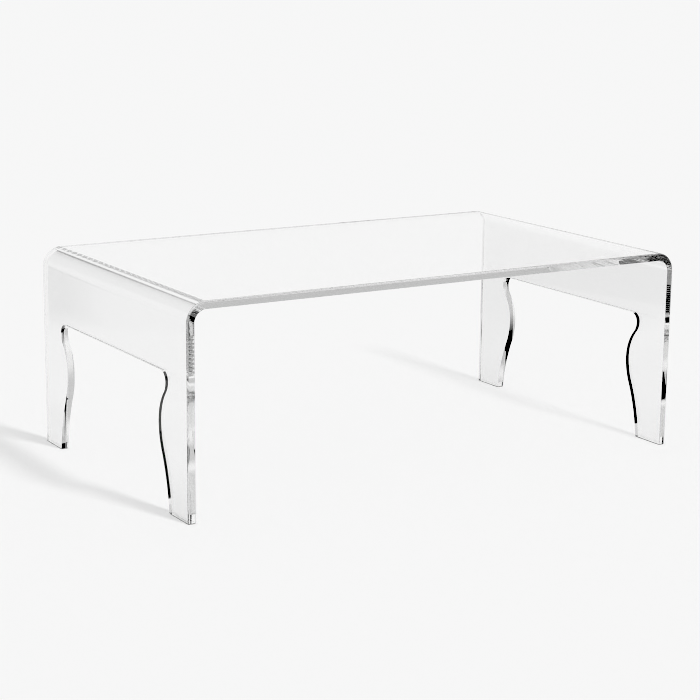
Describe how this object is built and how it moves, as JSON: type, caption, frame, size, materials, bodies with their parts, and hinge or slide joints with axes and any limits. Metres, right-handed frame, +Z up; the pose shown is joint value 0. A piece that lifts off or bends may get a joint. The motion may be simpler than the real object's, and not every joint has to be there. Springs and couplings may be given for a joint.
{
  "type": "coffee table",
  "caption": "Low clear acrylic waterfall coffee table: a thick sheet bent down at its ends, where openings leave legs with a cabriole outline, standing on small clear floor bumpers.",
  "frame": {"origin": "on the floor, under the middle of the table top", "axes": "+X along the table's length, +Y across its depth away from the viewer, +Z up"},
  "size_m": [1.108, 0.652, 0.406],
  "materials": {
    "clear_acrylic": "clear, polished faces and edges",
    "clear_bumper": "clear soft polyurethane"
  },
  "bodies": {
    "root": {"bent_sheet": "clear_acrylic", "front_left_outer_bumper": "clear_bumper", "front_left_inner_bumper": "clear_bumper", "rear_left_outer_bumper": "clear_bumper", "rear_left_inner_bumper": "clear_bumper", "front_right_outer_bumper": "clear_bumper", "front_right_inner_bumper": "clear_bumper", "rear_right_outer_bumper": "clear_bumper", "rear_right_inner_bumper": "clear_bumper"}
  },
  "joints": []
}
